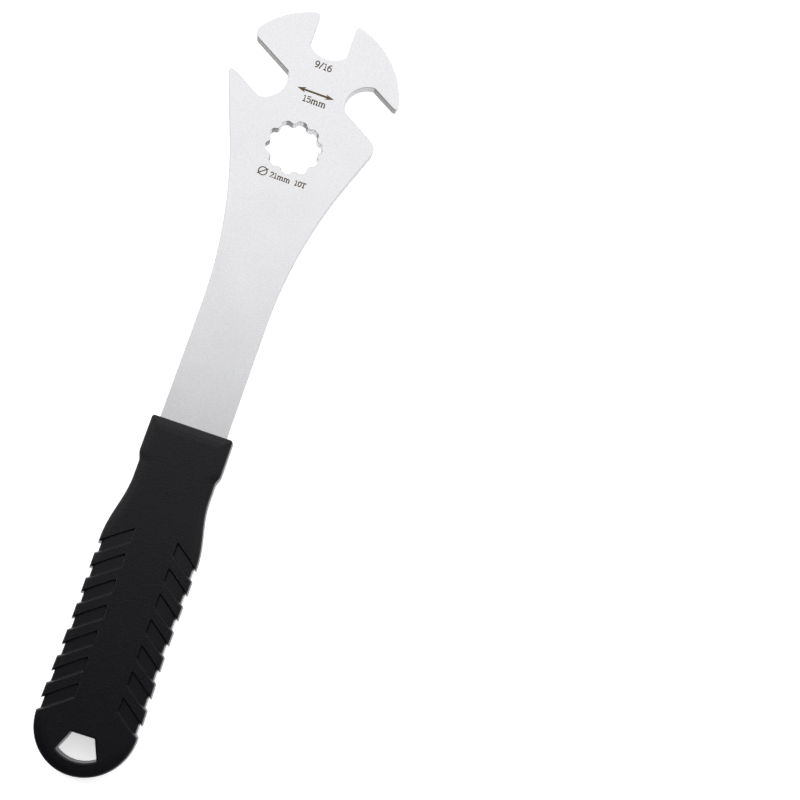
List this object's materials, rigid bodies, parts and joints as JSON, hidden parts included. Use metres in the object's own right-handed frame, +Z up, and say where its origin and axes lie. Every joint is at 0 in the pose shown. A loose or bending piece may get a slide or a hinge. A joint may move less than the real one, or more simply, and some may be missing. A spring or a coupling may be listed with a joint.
{
  "type": "pedal wrench",
  "caption": "Flat steel pedal wrench with side jaws, an end jaw and a toothed ring hole in its head, and a black moulded grip with slanted grooves.",
  "frame": {"origin": "middle of the box round the tool, on the surface that the underside of the grip lies on", "axes": "+Y from the butt of the grip towards the head, +Z up out of the marked face, +X to the right as seen from above"},
  "size_m": [0.0648, 0.2934, 0.012],
  "materials": {
    "steel": "pale satin plating with a fine grain",
    "grip": "black soft-touch moulding, matt"
  },
  "bodies": {
    "root": {"wrench_plate": "steel", "handle_grip": "grip"}
  },
  "joints": []
}
